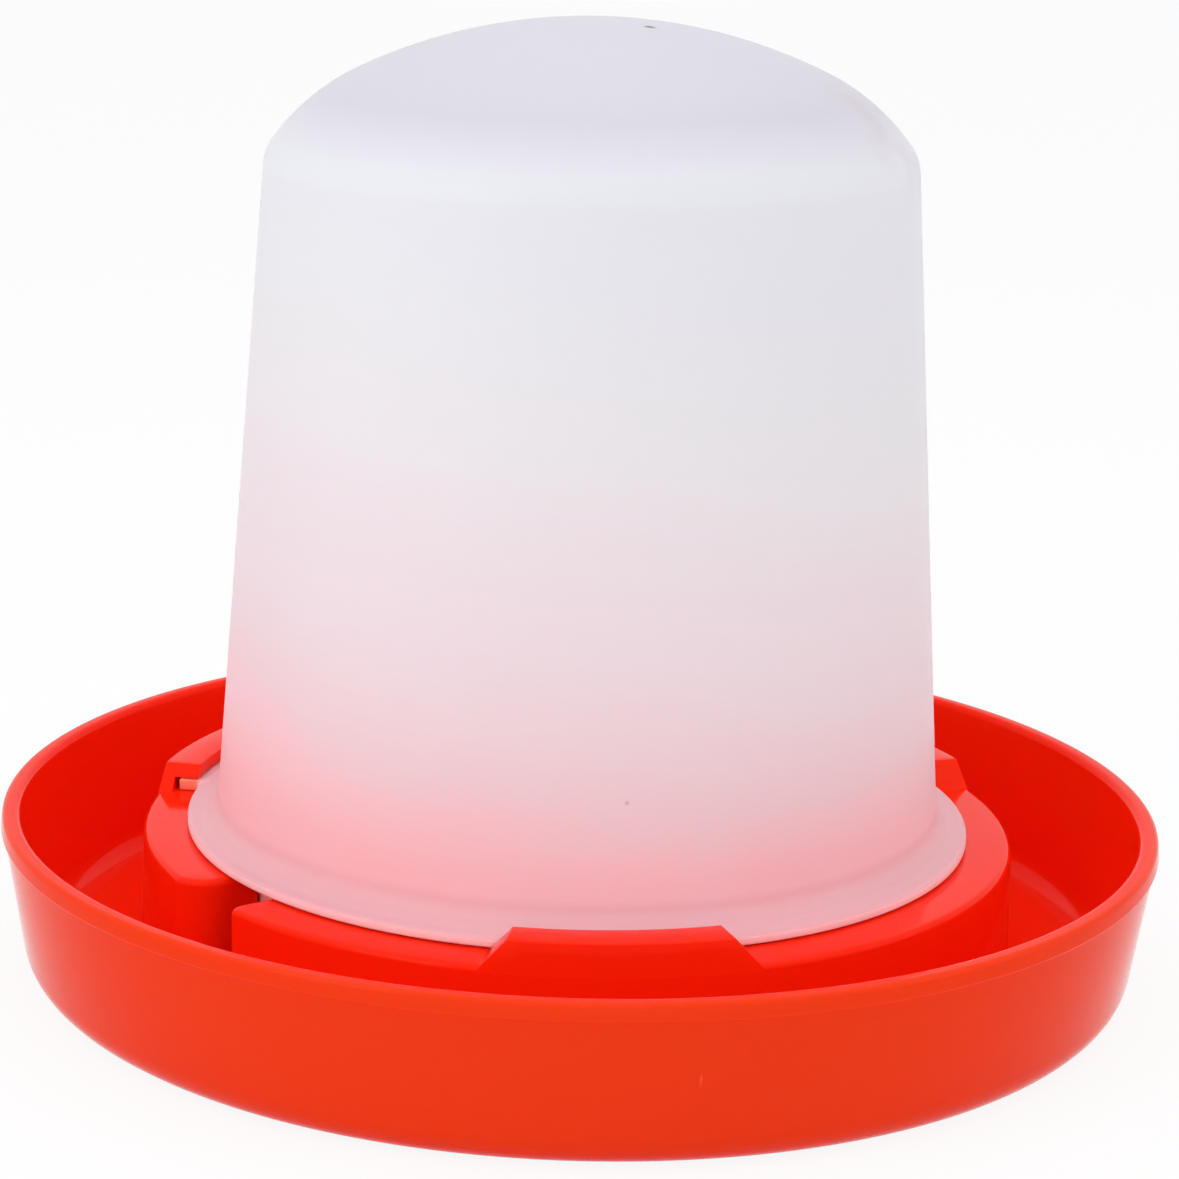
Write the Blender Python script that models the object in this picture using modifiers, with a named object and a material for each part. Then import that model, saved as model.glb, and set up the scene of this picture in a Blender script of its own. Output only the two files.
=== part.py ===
"""A gravity-fed poultry drinker: a domed reservoir that twists into the clips of a round trough dish.

Metres, +Z up. The origin is the centre of the dish's flat underside, and the water outlet faces -Y.
"""

from math import acos, asin, atan2, ceil, cos, hypot, pi, radians, sin, sqrt, tan

import bmesh
import bpy
from mathutils import Matrix, Vector

# Reservoir
RESERVOIR_HEIGHT = 0.1951
CROWN_RADIUS = 0.1330
SHOULDER_RADIUS = 0.0660
CREASE_RADIUS = 0.0750
CREASE_SLOPE = radians(51.5)
MOUTH_RADIUS = 0.0880
RESERVOIR_WALL = 0.0017
FLANGE_WIDTH = 0.0071
FLANGE_THICKNESS = 0.0024
FLANGE_FILLET = 0.0040
SKIRT_INSET = 0.0017
SKIRT_DEPTH = 0.0098

# Bayonet: lugs on the flange, hooked clips on the platform
CLIP_COUNT = 3
FIRST_CLIP_ANGLE = radians(-31.6)
CLIP_TOP_ARC = radians(27.4)
CLIP_END_SLOPE = radians(47.0)
CLIP_ROOF = 0.0030
CLIP_WALL = 0.0030
CLIP_LEAN = 0.0007
CLIP_STOP = 0.0026
LUG_REACH = 0.0058
LUG_ARC = radians(27.5)
LUG_STEP = 0.0002

# Hollow ring that the reservoir stands on
PLATFORM_HEIGHT = 0.0339
PLATFORM_FILLET = 0.0030
RING_WALL = 0.0022
RING_DRAFT = radians(1.5)
WELL_DRAFT = radians(1.0)
RING_FOOT_FILLET = 0.0020

# Water outlet through the ring
OUTLET_ANGLE = radians(-90.0)
OUTLET_WIDTH = 0.0164
OUTLET_MOUTH_FILLET = 0.0035
OUTLET_SILL = 0.0006

# Trough dish
TROUGH_WIDTH = 0.0342
RIM_HEIGHT = 0.0400
LIP_WIDTH = 0.0035
LIP_DEPTH = 0.0043
LIP_FLARE = 0.0005
LIP_OVERHANG = 0.0008
DISH_TAPER = 0.0055
DISH_CORNER = 0.0090
DISH_INNER_CORNER = 0.0070
DISH_WALL = 0.0028
DISH_FLOOR = 0.0022

# Clearances
SEAT_GAP = 0.0003
SKIRT_CLEARANCE = 0.0010
FLANGE_CLEARANCE = 0.0009
LUG_SIDE_CLEARANCE = 0.0012
LUG_TOP_CLEARANCE = 0.0005
LUG_STOP_CLEARANCE = 0.0003

# Fineness
TURN_STEPS = 72
ARC_STEP = radians(30.0)
DOME_STEPS = 5
CUT_MARGIN = 0.0100
FINE_OVERLAP = 0.0001

FULL_TURN = 2 * pi
CLIP_PITCH = FULL_TURN / CLIP_COUNT
FLANGE_RADIUS = MOUTH_RADIUS + FLANGE_WIDTH
SKIRT_RADIUS = MOUTH_RADIUS - SKIRT_INSET
WELL_RADIUS = SKIRT_RADIUS + SKIRT_CLEARANCE
SEAT_HEIGHT = PLATFORM_HEIGHT + SEAT_GAP
SLOT_TOP = SEAT_HEIGHT + FLANGE_THICKNESS + LUG_TOP_CLEARANCE
SLOT_RADIUS = FLANGE_RADIUS + LUG_REACH + LUG_SIDE_CLEARANCE
CLIP_TOP = SLOT_TOP + CLIP_ROOF
CLIP_INNER_RADIUS = FLANGE_RADIUS + FLANGE_CLEARANCE
CLIP_OUTER_RADIUS = SLOT_RADIUS + CLIP_WALL
SLOT_START = CLIP_STOP / CLIP_INNER_RADIUS - CLIP_TOP_ARC / 2
PLATFORM_RADIUS = CLIP_OUTER_RADIUS + CLIP_LEAN
RIM_RADIUS = PLATFORM_RADIUS + TROUGH_WIDTH


def collection(name):
    """A new collection in the scene."""
    made = bpy.data.collections.new(name)
    bpy.context.scene.collection.children.link(made)
    return made


def plastic(name, colour, roughness, transmission=0.0):
    """A Principled material of one colour."""
    material = bpy.data.materials.new(name)
    material.use_nodes = True
    shader = material.node_tree.nodes["Principled BSDF"]
    shader.inputs["Base Color"].default_value = (*colour, 1.0)
    shader.inputs["Roughness"].default_value = roughness
    shader.inputs["Metallic"].default_value = 0.0
    shader.inputs["Transmission Weight"].default_value = transmission
    return material


def add_object(name, mesh, home):
    """An object for the mesh, in the collection called home."""
    made = bpy.data.objects.new(name, mesh)
    home.objects.link(made)
    return made


def mark_as_helper(shape):
    """Keep a cutter or a shape to join out of the render."""
    shape.hide_render = True
    shape.display_type = "WIRE"
    return shape


def polar(radius, angle):
    """A flat vector of this length towards this angle."""
    return Vector((radius * cos(angle), radius * sin(angle)))


def round_corner(before, corner, after, radius):
    """The points of an arc of this radius that rounds the corner."""
    before, corner, after = Vector(before), Vector(corner), Vector(after)
    back = (before - corner).normalized()
    ahead = (after - corner).normalized()
    opening = acos(max(-1.0, min(1.0, back.dot(ahead))))
    reach = min(radius / tan(opening / 2), (before - corner).length, (after - corner).length)
    radius = reach * tan(opening / 2)
    centre = corner + (back + ahead).normalized() * hypot(radius, reach)
    start = corner + back * reach - centre
    turn = start.angle_signed(corner + ahead * reach - centre)
    count = max(2, ceil(abs(turn) / ARC_STEP))
    return [centre + Matrix.Rotation(-turn * i / count, 2) @ start for i in range(count + 1)]


def rounded(corners):
    """A line through (radius, height) corners. A third number on a corner is its fillet."""
    line = []
    for i, corner in enumerate(corners):
        if len(corner) == 2:
            line.append(Vector(corner))
        else:
            line += round_corner(corners[i - 1][:2], corner[:2], corners[i + 1][:2], corner[2])
    return line


def inset(line, depth):
    """The line moved to its right-hand side by depth, with mitred corners."""
    moved = []
    for i, point in enumerate(line):
        sides = []
        if i > 0:
            sides.append(point - line[i - 1])
        if i + 1 < len(line):
            sides.append(line[i + 1] - point)
        normals = [Vector((side.y, -side.x)).normalized() for side in sides]
        across = sum(normals, Vector((0.0, 0.0))).normalized()
        moved.append(point + across * (depth / across.dot(normals[0])))
    return moved


def turned(name, line, home, closed=False):
    """A solid of revolution, made with a Screw modifier. Its facets line up with the clips' facets."""
    count = len(line)
    edges = [(i, i + 1) for i in range(count - 1)] + ([(count - 1, 0)] if closed else [])
    mesh = bpy.data.meshes.new(name)
    mesh.from_pydata([(point.x, 0.0, point.y) for point in line], edges, [])
    made = add_object(name, mesh, home)
    made.rotation_euler.z = FIRST_CLIP_ANGLE
    screw = made.modifiers.new("Turn", "SCREW")
    screw.axis = "Z"
    screw.angle = FULL_TURN
    screw.steps = TURN_STEPS
    screw.render_steps = TURN_STEPS
    screw.use_merge_vertices = True
    screw.merge_threshold = 0.00001
    screw.use_normal_calculate = True
    return made


def sector(name, line, start, arc, home):
    """The closed outline swept round the Z axis from start through arc, with flat ends."""
    shape = bmesh.new()
    corners = [shape.verts.new((*polar(point.x, start), point.y)) for point in line]
    face = shape.faces.new(corners)
    steps = max(1, round(TURN_STEPS * arc / FULL_TURN))
    bmesh.ops.spin(
        shape, geom=[face], axis=(0, 0, 1), cent=(0, 0, 0), angle=arc, steps=steps, use_duplicate=False
    )
    bmesh.ops.recalc_face_normals(shape, faces=shape.faces)
    return add_bmesh(name, shape, home)


def extruded(name, corners, along, home):
    """The flat face through these corners, extruded along a vector."""
    shape = bmesh.new()
    face = shape.faces.new([shape.verts.new(corner) for corner in corners])
    moved = bmesh.ops.extrude_face_region(shape, geom=[face])["geom"]
    ends = [item for item in moved if isinstance(item, bmesh.types.BMVert)]
    bmesh.ops.translate(shape, verts=ends, vec=along)
    bmesh.ops.recalc_face_normals(shape, faces=shape.faces)
    return add_bmesh(name, shape, home)


def lofted(name, outlines, home):
    """A closed solid through stacked outlines that have the same number of corners."""
    shape = bmesh.new()
    rings = [[shape.verts.new(corner) for corner in outline] for outline in outlines]
    shape.faces.new(rings[0])
    shape.faces.new(rings[-1])
    for lower, upper in zip(rings, rings[1:]):
        for i in range(len(lower)):
            shape.faces.new((lower[i - 1], lower[i], upper[i], upper[i - 1]))
    bmesh.ops.recalc_face_normals(shape, faces=shape.faces)
    return add_bmesh(name, shape, home)


def add_bmesh(name, shape, home):
    """An object made from the bmesh, which is freed."""
    mesh = bpy.data.meshes.new(name)
    shape.to_mesh(mesh)
    shape.free()
    return add_object(name, mesh, home)


def baked(shape, home):
    """The mesh that the object has after its modifiers. The object and its cutters stay as helpers."""
    mark_as_helper(shape)
    graph = bpy.context.evaluated_depsgraph_get()
    return bpy.data.meshes.new_from_object(shape.evaluated_get(graph))


def boolean(body, operation, tool):
    """Cut the tool from the body, or join it to the body."""
    modifier = body.modifiers.new(tool.name, "BOOLEAN")
    modifier.operation = operation
    modifier.solver = "EXACT"
    modifier.object = tool


def finish(body, material):
    """Apply the look: the material, and smooth shading with creases kept."""
    body.data.materials.append(material)
    body.data.shade_smooth()
    body.data.set_sharp_from_angle(angle=radians(40))


def ring_outer_radius(height):
    """Radius of the ring's outer wall at this height."""
    return PLATFORM_RADIUS + (PLATFORM_HEIGHT - height) * tan(RING_DRAFT)


def ring_inner_radius(height):
    """Radius of the ring's inner wall, which lines the well, at this height."""
    return WELL_RADIUS - (PLATFORM_HEIGHT - height) * tan(WELL_DRAFT)


def dish_line():
    """Half section of the dish with its ring still solid, from the well floor out and back underneath."""
    lip_bottom = RIM_HEIGHT - LIP_DEPTH
    wall_top = RIM_RADIUS + LIP_FLARE - LIP_OVERHANG
    floor_outer = wall_top - DISH_TAPER
    inner_edge = RIM_RADIUS - LIP_WIDTH
    return rounded([
        (0.0, DISH_FLOOR),
        (ring_inner_radius(DISH_FLOOR), DISH_FLOOR, RING_FOOT_FILLET),
        (ring_inner_radius(PLATFORM_HEIGHT), PLATFORM_HEIGHT, SKIRT_CLEARANCE),
        (ring_outer_radius(PLATFORM_HEIGHT), PLATFORM_HEIGHT, PLATFORM_FILLET),
        (ring_outer_radius(DISH_FLOOR), DISH_FLOOR, RING_FOOT_FILLET),
        (floor_outer - DISH_WALL, DISH_FLOOR, DISH_INNER_CORNER),
        (inner_edge, RIM_HEIGHT),
        (RIM_RADIUS, RIM_HEIGHT, LIP_FLARE / 2),
        (RIM_RADIUS + LIP_FLARE, lip_bottom),
        (wall_top, lip_bottom),
        (floor_outer, 0.0, DISH_CORNER),
        (0.0, 0.0),
    ])


def outlet_outline(depth):
    """Plan of the water outlet: a straight channel whose mouth opens through corners rounded into the ring.

    The outline lies this deep inside the ring's material.
    """
    half = OUTLET_WIDTH / 2 + depth
    fillet = OUTLET_MOUTH_FILLET - depth
    outer = ring_outer_radius(PLATFORM_HEIGHT / 2) - depth
    middle = Vector((sqrt((outer - fillet) ** 2 - (half + fillet) ** 2), half + fillet))
    tangent = atan2(middle.y, middle.x)
    steps = ceil((pi / 2 + tangent) / ARC_STEP)
    turns = [-pi / 2 + (pi / 2 + tangent) * i / steps for i in range(steps + 1)]
    upper = [Vector((WELL_RADIUS - CUT_MARGIN, half))]
    upper += [middle + polar(fillet, turn) for turn in turns]
    upper.append(polar(outer + CUT_MARGIN, tangent))
    lower = [Vector((point.x, -point.y)) for point in reversed(upper)]
    return [Matrix.Rotation(OUTLET_ANGLE, 2) @ point for point in upper + lower]


def outlet_solid(name, levels, home):
    """A helper through the outlet's plan at several levels, each a height and a depth in the ring's material."""
    outlines = []
    for height, depth in levels:
        outlines.append([(point.x, point.y, height) for point in outlet_outline(depth)])
    return mark_as_helper(lofted(name, outlines, home))


def outlet_cutter(home):
    """The water outlet, whose walls curve away at the top as the platform's outer edge does."""
    levels = [(DISH_FLOOR + OUTLET_SILL, 0.0)]
    for i in range(round(radians(90) / ARC_STEP)):
        turn = i * ARC_STEP
        height = PLATFORM_HEIGHT - PLATFORM_FILLET * (1 - sin(turn))
        levels.append((height, PLATFORM_FILLET * (1 - cos(turn))))
    levels.append((PLATFORM_HEIGHT + FINE_OVERLAP, PLATFORM_FILLET))
    levels.append((PLATFORM_HEIGHT + CUT_MARGIN, PLATFORM_FILLET))
    return outlet_solid("outlet", levels, home)


def ring_hollow(home):
    """The space inside the ring, open underneath, that stops short of the outlet's walls."""
    roof = PLATFORM_HEIGHT - RING_WALL
    line = rounded([
        (ring_inner_radius(-CUT_MARGIN) + RING_WALL, -CUT_MARGIN),
        (ring_inner_radius(roof) + RING_WALL, roof, SKIRT_CLEARANCE),
        (ring_outer_radius(roof) - RING_WALL, roof, PLATFORM_FILLET - RING_WALL),
        (ring_outer_radius(-CUT_MARGIN) - RING_WALL, -CUT_MARGIN),
    ])
    hollow = mark_as_helper(turned("ring_hollow", line, home, closed=True))
    levels = [(-2 * CUT_MARGIN, RING_WALL), (PLATFORM_HEIGHT + CUT_MARGIN, RING_WALL)]
    boolean(hollow, "DIFFERENCE", outlet_solid("outlet_walls", levels, home))
    return hollow


def clip_blank(home):
    """A hooked clip centred on +X: a leaning block with sloped ends and a slot that is closed at one end."""
    foot = PLATFORM_HEIGHT - PLATFORM_FILLET - 3 * FINE_OVERLAP
    sink = PLATFORM_HEIGHT - RING_WALL / 2
    outer = ring_outer_radius(foot) - FINE_OVERLAP
    line = [
        Vector((CLIP_INNER_RADIUS, sink)),
        Vector((CLIP_INNER_RADIUS, CLIP_TOP)),
        Vector((CLIP_OUTER_RADIUS, CLIP_TOP)),
        Vector((outer, foot)),
        Vector((outer - RING_WALL / 2, foot)),
        Vector((outer - RING_WALL, sink)),
    ]
    fall = (CLIP_TOP - PLATFORM_HEIGHT) / tan(CLIP_END_SLOPE)
    step = FULL_TURN / TURN_STEPS
    half_sweep = step * ceil((CLIP_TOP_ARC / 2 + fall / CLIP_INNER_RADIUS) / step)
    clip = sector("clip_blank", line, -half_sweep, 2 * half_sweep, home)
    for side in (-1, 1):
        boolean(clip, "DIFFERENCE", clip_end_wedge(side, home))
    slot = [
        Vector((CLIP_INNER_RADIUS - CUT_MARGIN, SEAT_HEIGHT - 2 * SEAT_GAP)),
        Vector((CLIP_INNER_RADIUS - CUT_MARGIN, SLOT_TOP)),
        Vector((SLOT_RADIUS, SLOT_TOP)),
        Vector((SLOT_RADIUS, SEAT_HEIGHT - 2 * SEAT_GAP)),
    ]
    cutter = sector("clip_slot", slot, SLOT_START, half_sweep + step - SLOT_START, home)
    boolean(clip, "DIFFERENCE", mark_as_helper(cutter))
    return baked(clip, home)


def clip_end_wedge(side, home):
    """Cutter that slopes one end of the clip."""
    top_edge = Matrix.Rotation(side * CLIP_TOP_ARC / 2, 3, "Z")
    outline = [
        (0.0, CLIP_TOP),
        (2 * CUT_MARGIN, CLIP_TOP - 2 * CUT_MARGIN * tan(CLIP_END_SLOPE)),
        (2 * CUT_MARGIN, CLIP_TOP + CUT_MARGIN),
        (0.0, CLIP_TOP + CUT_MARGIN),
    ]
    near = CLIP_INNER_RADIUS - CUT_MARGIN
    corners = [top_edge @ Vector((near, side * out, height)) for out, height in outline]
    reach = PLATFORM_RADIUS - near + CUT_MARGIN
    name = "clip_end_left" if side < 0 else "clip_end_right"
    return mark_as_helper(extruded(name, corners, top_edge @ Vector((reach, 0, 0)), home))


def build_base(home, helpers, material):
    """The red dish, moulded in one piece with its ring and clips."""
    base = turned("drinker_base", dish_line(), home)
    boolean(base, "DIFFERENCE", ring_hollow(helpers))
    mesh = clip_blank(helpers)
    for i in range(CLIP_COUNT):
        clip = mark_as_helper(add_object(f"clip_{i + 1}", mesh, helpers))
        clip.rotation_euler.z = FIRST_CLIP_ANGLE + i * CLIP_PITCH
        boolean(base, "UNION", clip)
    boolean(base, "DIFFERENCE", outlet_cutter(helpers))
    finish(base, material)
    return base


def dome_line():
    """The dome from its top to the crease: a wide crown arc that runs smoothly into a tighter shoulder arc."""
    offset = CROWN_RADIUS - SHOULDER_RADIUS
    crown_slope = asin((CREASE_RADIUS - SHOULDER_RADIUS * sin(CREASE_SLOPE)) / offset)
    crown_centre = Vector((0.0, RESERVOIR_HEIGHT - CROWN_RADIUS))
    shoulder_centre = crown_centre + Vector((offset * sin(crown_slope), offset * cos(crown_slope)))
    line = []
    for i in range(DOME_STEPS):
        slope = crown_slope * i / DOME_STEPS
        line.append(crown_centre + CROWN_RADIUS * Vector((sin(slope), cos(slope))))
    for i in range(DOME_STEPS + 1):
        slope = crown_slope + (CREASE_SLOPE - crown_slope) * i / DOME_STEPS
        line.append(shoulder_centre + SHOULDER_RADIUS * Vector((sin(slope), cos(slope))))
    return line


def reservoir_line():
    """Half section of the reservoir, whose flange rests at height 0: down the outside and up the inside."""
    outside = dome_line() + [Vector((MOUTH_RADIUS, FLANGE_THICKNESS))]
    inside = inset(outside, RESERVOIR_WALL)
    inside[0] = Vector((0.0, RESERVOIR_HEIGHT - RESERVOIR_WALL))
    skirt_inner = SKIRT_RADIUS - RESERVOIR_WALL
    edge = RESERVOIR_WALL / 3
    flange = rounded([
        tuple(outside[-2]),
        (MOUTH_RADIUS, FLANGE_THICKNESS, FLANGE_FILLET),
        (FLANGE_RADIUS, FLANGE_THICKNESS, edge),
        (FLANGE_RADIUS, 0.0, edge),
        (SKIRT_RADIUS, 0.0),
        (SKIRT_RADIUS, -SKIRT_DEPTH, edge),
        (skirt_inner, -SKIRT_DEPTH, edge),
        (skirt_inner, 0.0, RESERVOIR_WALL),
        tuple(inside[-1]),
    ])
    return outside[:-2] + flange[:-1] + list(reversed(inside))


def build_reservoir(home, helpers, material):
    """The translucent reservoir, moulded in one piece with its flange, skirt and lugs."""
    reservoir = turned("reservoir", reservoir_line(), home)
    lug_line = [
        Vector((FLANGE_RADIUS - RESERVOIR_WALL, LUG_STEP)),
        Vector((FLANGE_RADIUS - RESERVOIR_WALL, FLANGE_THICKNESS - LUG_STEP)),
        Vector((FLANGE_RADIUS + LUG_REACH, FLANGE_THICKNESS - LUG_STEP)),
        Vector((FLANGE_RADIUS + LUG_REACH, LUG_STEP)),
    ]
    start = SLOT_START + LUG_STOP_CLEARANCE / CLIP_INNER_RADIUS
    for i in range(CLIP_COUNT):
        turn = FIRST_CLIP_ANGLE + i * CLIP_PITCH
        lug = sector(f"lug_{i + 1}", lug_line, turn + start, LUG_ARC, helpers)
        lug.location.z = SEAT_HEIGHT
        boolean(reservoir, "UNION", mark_as_helper(lug))
    reservoir.location.z = SEAT_HEIGHT
    finish(reservoir, material)
    return reservoir


def main():
    for old in list(bpy.data.objects):
        bpy.data.objects.remove(old, do_unlink=True)
    parts = collection("poultry_drinker")
    helpers = collection("cutters")
    build_base(parts, helpers, plastic("red_plastic", (0.78, 0.035, 0.012), 0.3))
    build_reservoir(parts, helpers, plastic("milky_plastic", (0.86, 0.86, 0.88), 0.35, 0.3))


main()
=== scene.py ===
# %% [markdown]
# # A gravity-fed poultry drinker
# The drinker is two mouldings. A milky reservoir stands upside down on the raised ring of a red trough
# dish, and three lugs on its flange turn under three hooked clips. The frame holds both at their real
# size. This lesson models them again with fine, rounded surfaces, and gives them their plastics.

# %% Load the frame
from math import acos, atan2, ceil, cos, hypot, pi, radians, sin, sqrt, tan

import bmesh
import bpy
from mathutils import Matrix, Vector


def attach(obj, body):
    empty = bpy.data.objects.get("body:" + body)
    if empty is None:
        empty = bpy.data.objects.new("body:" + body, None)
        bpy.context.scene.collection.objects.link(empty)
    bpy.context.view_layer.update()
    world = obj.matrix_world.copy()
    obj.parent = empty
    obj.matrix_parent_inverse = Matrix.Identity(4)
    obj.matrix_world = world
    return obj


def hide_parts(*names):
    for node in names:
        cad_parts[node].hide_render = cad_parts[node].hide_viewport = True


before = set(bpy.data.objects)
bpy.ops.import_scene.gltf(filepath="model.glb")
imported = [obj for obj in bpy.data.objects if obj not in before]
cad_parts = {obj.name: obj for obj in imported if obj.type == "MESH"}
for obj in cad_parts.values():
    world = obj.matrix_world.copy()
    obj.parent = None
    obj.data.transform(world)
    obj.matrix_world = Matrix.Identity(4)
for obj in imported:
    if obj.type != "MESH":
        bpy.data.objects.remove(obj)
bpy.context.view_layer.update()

# %% [markdown]
# ## Sizes
# Blender works in metres, and a moulding is thought of in millimetres, so sizes are written as so many MM.
# They are the frame's own sizes. What fits together shares them, so the mouth sets the flange, the flange
# sets the clips, and the clips set the ring.

# %% Sizes of the reservoir
MM = 0.001
FULL_TURN = 2 * pi
ROUND_STEPS = 288
ARC_STEP = radians(11.25)
DOME_STEPS = 16

RESERVOIR_HEIGHT = 195.1 * MM
CROWN_RADIUS = 128.0 * MM
CROWN_SLOPE = radians(25.5)
SHOULDER_RADIUS = 52.0 * MM
SHOULDER_SLOPE = radians(53.0)
CORNER_RADIUS = 12.3 * MM
WALL_SLOPE = radians(85.87)
MOUTH_RADIUS = 88.0 * MM
RESERVOIR_WALL = 1.7 * MM
FLANGE_RADIUS = MOUTH_RADIUS + 7.1 * MM
FLANGE_THICKNESS = 2.4 * MM
FLANGE_FILLET = 5.5 * MM
SKIRT_RADIUS = MOUTH_RADIUS - 1.7 * MM
SKIRT_DEPTH = 9.8 * MM
LUG_REACH = 5.8 * MM
LUG_ARC = radians(27.5)
LUG_PROUD = 0.2 * MM
LUG_STOP_CLEARANCE = 0.3 * MM
print("the flange is", round(2 * FLANGE_RADIUS / MM, 1), "mm across")

# %% Sizes of the base
PLATFORM_HEIGHT = 33.9 * MM
PLATFORM_FILLET = 1.6 * MM
SEAT_HEIGHT = PLATFORM_HEIGHT + 0.3 * MM
WELL_RADIUS = SKIRT_RADIUS + 1.0 * MM
WELL_EDGE_FILLET = 1.0 * MM
RING_WALL = 2.2 * MM
RING_DRAFT = radians(1.5)
WELL_DRAFT = radians(1.0)
RING_FOOT_FILLET = 2.0 * MM
CLIP_COUNT = 3
CLIP_PITCH = FULL_TURN / CLIP_COUNT
FIRST_CLIP_ANGLE = radians(-31.6)
CLIP_TOP_ARC = radians(27.4)
CLIP_END_SLOPE = radians(47.0)
CLIP_STOP = 2.6 * MM
SLOT_BOTTOM = SEAT_HEIGHT - 0.6 * MM
SLOT_TOP = SEAT_HEIGHT + FLANGE_THICKNESS + 0.5 * MM
SLOT_RADIUS = FLANGE_RADIUS + LUG_REACH + 1.2 * MM
CLIP_TOP = SLOT_TOP + 3.0 * MM
CLIP_FOOT = PLATFORM_HEIGHT - PLATFORM_FILLET - 0.3 * MM
CLIP_INNER_RADIUS = FLANGE_RADIUS + 0.9 * MM
CLIP_OUTER_RADIUS = SLOT_RADIUS + 3.0 * MM
SLOT_START = CLIP_STOP / CLIP_INNER_RADIUS - CLIP_TOP_ARC / 2
PLATFORM_RADIUS = CLIP_OUTER_RADIUS + 0.7 * MM
OUTLET_ANGLE = radians(-90.0)
OUTLET_WIDTH = 16.4 * MM
OUTLET_TIGHT_FILLET = 3.5 * MM
OUTLET_WIDE_FILLET = 8.5 * MM
OUTLET_SILL = 0.6 * MM
RIM_RADIUS = PLATFORM_RADIUS + 34.2 * MM
RIM_HEIGHT = 40.0 * MM
LIP_WIDTH = 4.3 * MM
LIP_DEPTH = 4.3 * MM
LIP_FLARE = 0.5 * MM
LIP_OVERHANG = 0.8 * MM
LIP_INNER_ROUND = 1.8 * MM
LIP_OUTER_ROUND = 1.3 * MM
LIP_BOTTOM_ROUND = 0.7 * MM
DISH_TAPER = 5.5 * MM
DISH_CORNER = 9.0 * MM
DISH_INNER_CORNER = 7.0 * MM
DISH_WALL = 2.8 * MM
DISH_FLOOR = 2.2 * MM
EDGE = 0.4 * MM
CUT_MARGIN = 10.0 * MM
FINE_OVERLAP = 0.02 * MM
print("the dish is", round(2 * RIM_RADIUS / MM, 1), "mm across")
print("the clips are", round(CLIP_TOP / MM, 1), "mm high")

# %% [markdown]
# ## Half sections
# Both mouldings are round, so each starts as half of its section, with the radius as x and the height as z.
# A mould has no sharp corners, because plastic doesn't flow well round them and they would crack. Each
# corner is therefore replaced by an arc before the section is turned. That is cleaner than a bevel
# afterwards, because the arc's points land on the turned rows.

# %% Round the corners of a section
def polar(radius, angle):
    """A flat vector of this length towards this angle."""
    return Vector((radius * cos(angle), radius * sin(angle)))


def round_corner(before, corner, after, radius):
    """The points of an arc of this radius that rounds the corner."""
    back = (before - corner).normalized()
    ahead = (after - corner).normalized()
    opening = acos(max(-1.0, min(1.0, back.dot(ahead))))
    reach = min(radius / tan(opening / 2), (before - corner).length, (after - corner).length)
    radius = reach * tan(opening / 2)
    centre = corner + (back + ahead).normalized() * hypot(radius, reach)
    start = corner + back * reach - centre
    turn = start.angle_signed(corner + ahead * reach - centre)
    count = max(3, ceil(abs(turn) / ARC_STEP))
    return [centre + Matrix.Rotation(-turn * i / count, 2) @ start for i in range(count + 1)]


def rounded(corners):
    """A line through (radius, height) corners. A third number on a corner is its fillet."""
    places = [Vector(corner[:2]) for corner in corners]
    line = []
    for i, corner in enumerate(corners):
        if len(corner) == 2:
            line.append(places[i])
        else:
            line += round_corner(places[i - 1], places[i], places[i + 1], corner[2])
    return line


print("a corner of 4 mm takes", len(rounded([(0, 1), (0, 0, 4 * MM), (1, 0)])) - 2, "points")

# %% [markdown]
# ## Trace and turn
# By hand this is a plane merged to one vertex, extruded from point to point, and spun round the axis. The
# same operators do it here. Spin turns clockwise for a positive angle. It leaves a double row of vertices
# where it closes and a heap of them on the axis, so the doubles are merged, and then the normals are made
# to point outwards.

# %% Trace a section and spin it
WELD = 0.001 * MM


def only(piece):
    """Make the piece the one that is selected and active."""
    bpy.ops.object.select_all(action="DESELECT")
    piece.select_set(True)
    bpy.context.view_layer.objects.active = piece


def trace(name, points, closed=False):
    """A chain of edges through the points, left in edit mode with all of it selected."""
    bpy.ops.object.select_all(action="DESELECT")
    bpy.ops.mesh.primitive_plane_add(size=MM, location=(0, 0, 0))
    chain = bpy.context.active_object
    chain.name = name
    bpy.ops.object.mode_set(mode="EDIT")
    bpy.ops.mesh.select_all(action="SELECT")
    bpy.ops.mesh.merge(type="CENTER")
    bpy.ops.transform.translate(value=points[0])
    for before, after in zip(points, points[1:]):
        bpy.ops.mesh.extrude_region_move(TRANSFORM_OT_translate={"value": after - before})
    bpy.ops.mesh.select_all(action="SELECT")
    if closed:
        bpy.ops.mesh.edge_face_add()
    return chain


def close_up():
    """Merge doubled vertices and point the normals outwards, in edit mode."""
    bpy.ops.mesh.select_all(action="SELECT")
    bpy.ops.mesh.remove_doubles(threshold=WELD)
    bpy.ops.mesh.normals_make_consistent(inside=False)


def turned(name, line, closed=False):
    """A solid of revolution, whose facets line up with the clips."""
    start = Matrix.Rotation(FIRST_CLIP_ANGLE, 3, "Z")
    solid = trace(name, [start @ Vector((point.x, 0.0, point.y)) for point in line])
    if closed:
        # A face joins the two ends with an edge, and then only the face is deleted.
        bpy.ops.mesh.select_all(action="SELECT")
        bpy.ops.mesh.edge_face_add()
        bpy.ops.mesh.delete(type="ONLY_FACE")
        bpy.ops.mesh.select_all(action="SELECT")
    bpy.ops.mesh.spin(steps=ROUND_STEPS, angle=FULL_TURN, center=(0, 0, 0), axis=(0, 0, 1))
    close_up()
    bpy.ops.object.mode_set(mode="OBJECT")
    return solid


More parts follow.
